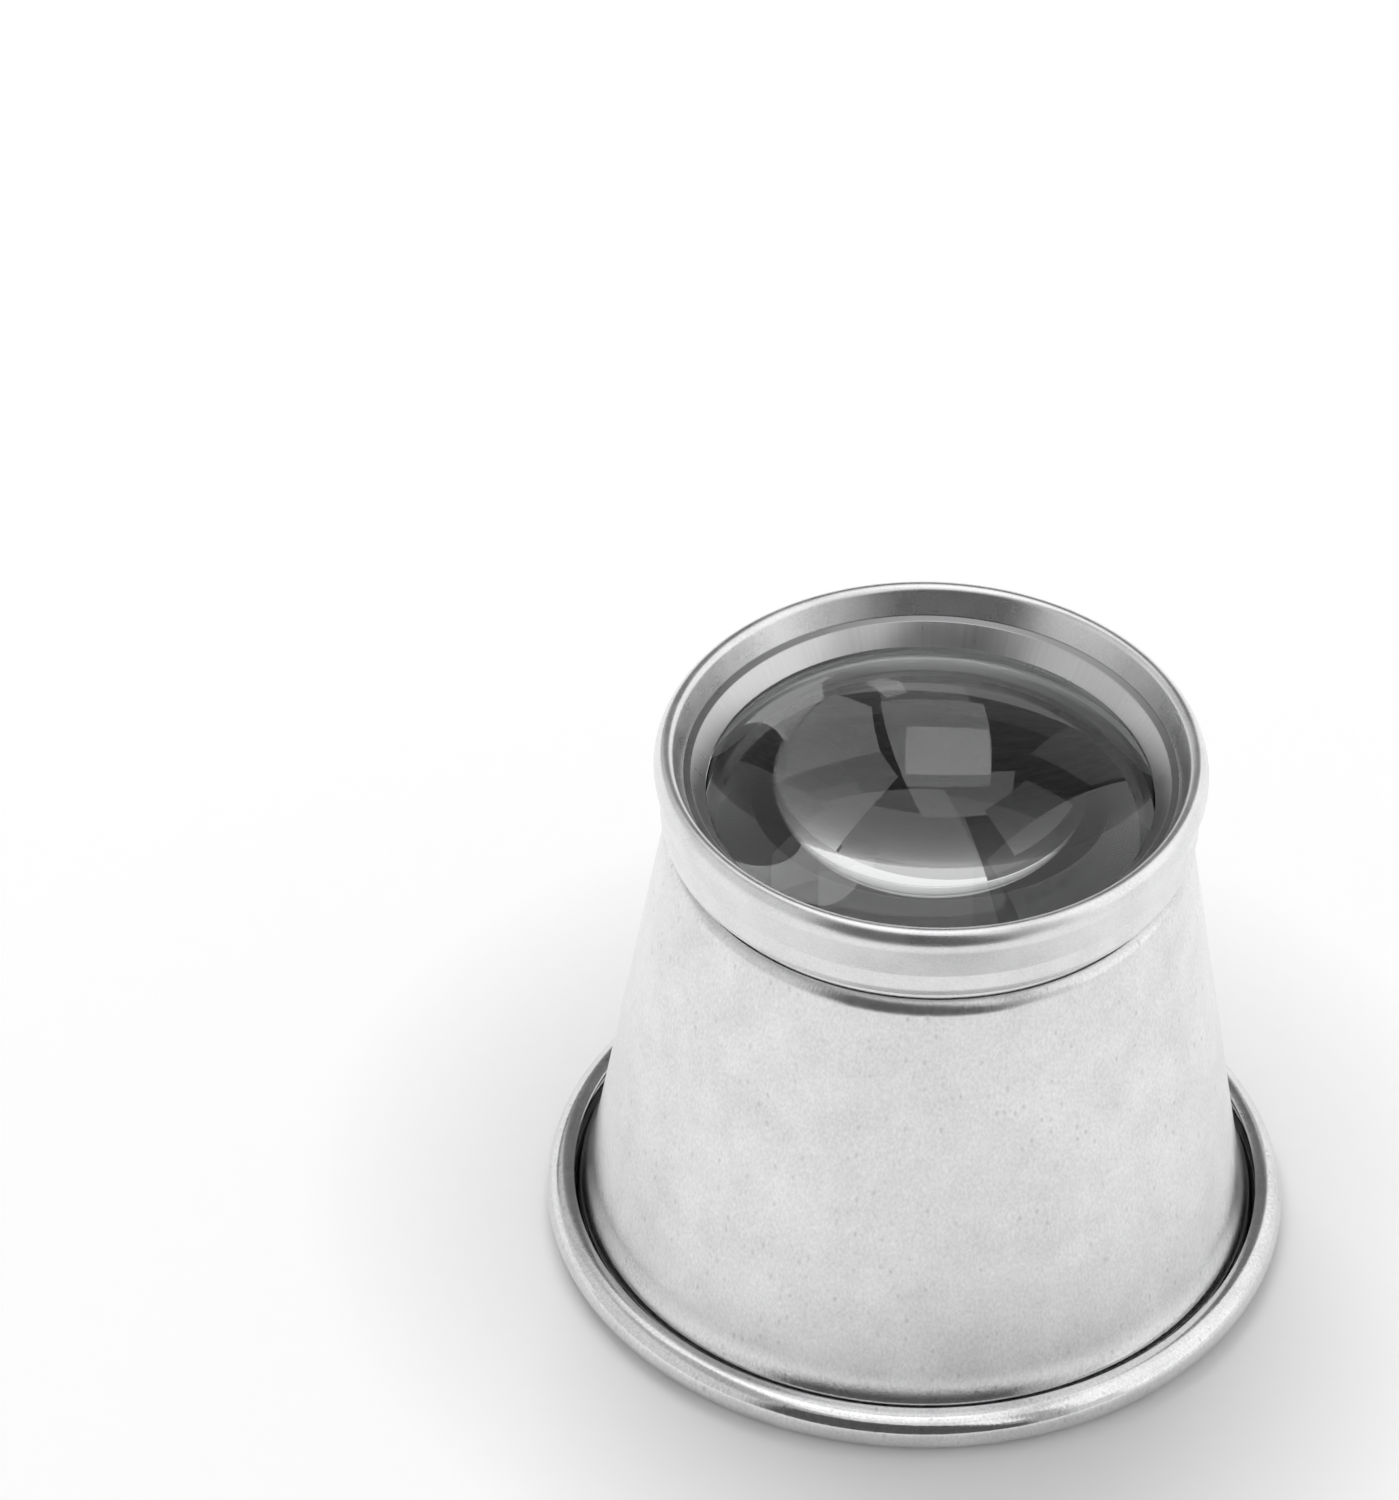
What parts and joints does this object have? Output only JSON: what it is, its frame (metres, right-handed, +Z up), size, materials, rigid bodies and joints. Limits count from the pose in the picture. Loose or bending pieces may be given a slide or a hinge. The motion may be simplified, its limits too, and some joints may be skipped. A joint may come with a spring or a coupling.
{
  "type": "watchmaker eye loupe",
  "caption": "Conical aluminium eye cup with a rolled foot and a screwed bezel that holds a thick biconvex lens, for close work held at the eye.",
  "frame": {"origin": "middle of the rolled foot, on the plane that the loupe stands on", "axes": "+Z up along the lens axis, from the wide eye end to the lens; +X and +Y are equal, because the loupe is round"},
  "size_m": [0.036, 0.036, 0.0289],
  "materials": {
    "spun_aluminium": "fine satin outside, matt black inside",
    "turned_aluminium": "bright satin, turned",
    "lens_glass": "polished faces, ground edge"
  },
  "bodies": {
    "cup": {"eye_cup": "spun_aluminium", "neck_ring": "turned_aluminium"},
    "cell_slide": {"lens": "lens_glass"},
    "cell": {"front_bezel": "turned_aluminium", "retaining_ring": "turned_aluminium"}
  },
  "joints": [
    {"name": "cell_lift", "type": "slide", "parent": "cup", "child": "cell_slide", "axis": [0, 0, 1], "range_m": [0, 0.00187]},
    {"name": "bezel_turn", "type": "hinge", "parent": "cell_slide", "child": "cell", "pos_m": [0, 0, 0.025], "axis": [0, 0, 1], "range_deg": [0, 900]}
  ],
  "couplings": [
    {"joint": "cell_lift", "follows": "bezel_turn", "m_per_rad": 0.00011937}
  ]
}
